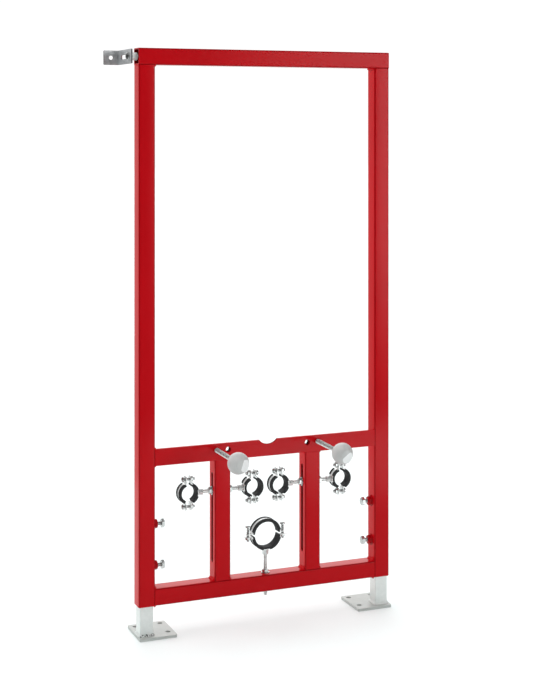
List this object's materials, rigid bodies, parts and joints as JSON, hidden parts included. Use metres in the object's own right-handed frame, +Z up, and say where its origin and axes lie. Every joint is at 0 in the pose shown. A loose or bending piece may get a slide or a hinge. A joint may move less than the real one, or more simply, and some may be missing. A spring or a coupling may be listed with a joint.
{
  "type": "bidet support frame",
  "caption": "Welded square-tube frame on telescopic legs that carries a wall-hung bidet, with fixing rods, slotted stiles, rubber-lined pipe clamps and a wall bracket.",
  "frame": {"origin": "on the floor, midway between the feet, at the centre of the four inner anchor holes", "axes": "+X to the right seen from the front, +Y to the wall behind, +Z up along the posts"},
  "size_m": [0.6192, 0.2391, 1.211],
  "materials": {
    "red_paint": "satin powder coat",
    "galvanised": "galvanised, matt",
    "zinc": "bright zinc plate",
    "rubber": "matt, moulded",
    "cap_plastic": "satin moulded"
  },
  "bodies": {
    "frame": {"top_rail": "red_paint", "bottom_rail": "red_paint", "cross_plate": "red_paint", "fixing_nuts": "red_paint", "left_post": "red_paint", "left_stile": "red_paint", "left_screw_bosses": "red_paint", "left_leg_screws": "zinc", "left_fixing_rod": "zinc", "left_rod_cap": "cap_plastic", "right_post": "red_paint", "right_stile": "red_paint", "right_screw_bosses": "red_paint", "right_leg_screws": "zinc", "right_fixing_rod": "zinc", "right_rod_cap": "cap_plastic", "waste_clamp_base": "zinc", "waste_clamp_cap": "zinc", "waste_clamp_screws": "zinc", "waste_clamp_rod": "zinc", "waste_rod_nut": "zinc", "waste_clamp_liner": "rubber", "rail_end_plate": "galvanised", "bracket_bolt": "zinc", "bracket_nut": "zinc"},
    "left_leg": {"left_leg_tube": "galvanised", "left_foot_plate": "galvanised"},
    "right_leg": {"right_leg_tube": "galvanised", "right_foot_plate": "galvanised"},
    "left_clamps": {"left_clamp_rod": "zinc", "left_rod_nuts": "zinc", "left_clamp_screws": "zinc", "left_outer_clamp_base": "zinc", "left_outer_clamp_cap": "zinc", "left_outer_clamp_liner": "rubber", "left_inner_clamp_base": "zinc", "left_inner_clamp_cap": "zinc", "left_inner_clamp_liner": "rubber"},
    "right_clamps": {"right_clamp_rod": "zinc", "right_rod_nuts": "zinc", "right_clamp_screws": "zinc", "right_outer_clamp_base": "zinc", "right_outer_clamp_cap": "zinc", "right_outer_clamp_liner": "rubber", "right_inner_clamp_base": "zinc", "right_inner_clamp_cap": "zinc", "right_inner_clamp_liner": "rubber"},
    "bracket": {"wall_bracket": "galvanised"}
  },
  "joints": [
    {"name": "left_leg_slide", "type": "slide", "parent": "frame", "child": "left_leg", "axis": [0, 0, -1], "range_m": [-0.05, 0.14]},
    {"name": "left_clamps_slide", "type": "slide", "parent": "frame", "child": "left_clamps", "axis": [0, 0, 1], "range_m": [-0.03, 0.02]},
    {"name": "right_leg_slide", "type": "slide", "parent": "frame", "child": "right_leg", "axis": [0, 0, -1], "range_m": [-0.05, 0.14]},
    {"name": "right_clamps_slide", "type": "slide", "parent": "frame", "child": "right_clamps", "axis": [0, 0, 1], "range_m": [-0.03, 0.02]},
    {"name": "bracket_slide", "type": "slide", "parent": "frame", "child": "bracket", "axis": [0, 1, 0], "range_m": [-0.05, 0.004]}
  ]
}
